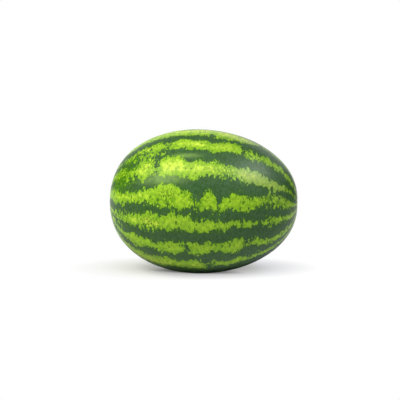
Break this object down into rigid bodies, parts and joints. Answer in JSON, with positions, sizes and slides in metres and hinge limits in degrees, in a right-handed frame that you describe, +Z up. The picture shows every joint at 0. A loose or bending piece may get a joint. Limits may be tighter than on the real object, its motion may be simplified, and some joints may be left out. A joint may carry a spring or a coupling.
{
  "type": "watermelon",
  "caption": "Whole oval watermelon lying on its side, with a waxy rind in jagged light and dark green stripes and a small flattened resting spot.",
  "frame": {"origin": "middle of the fruit's length and width, at the height of the surface that it rests on", "axes": "+X along the fruit, from the fatter stem end (-X) to the slimmer blossom end (+X); -Y faces the front view; +Z up"},
  "size_m": [0.2978, 0.23, 0.229],
  "materials": {
    "rind": "satin"
  },
  "bodies": {
    "root": {"watermelon": "rind"}
  },
  "joints": []
}
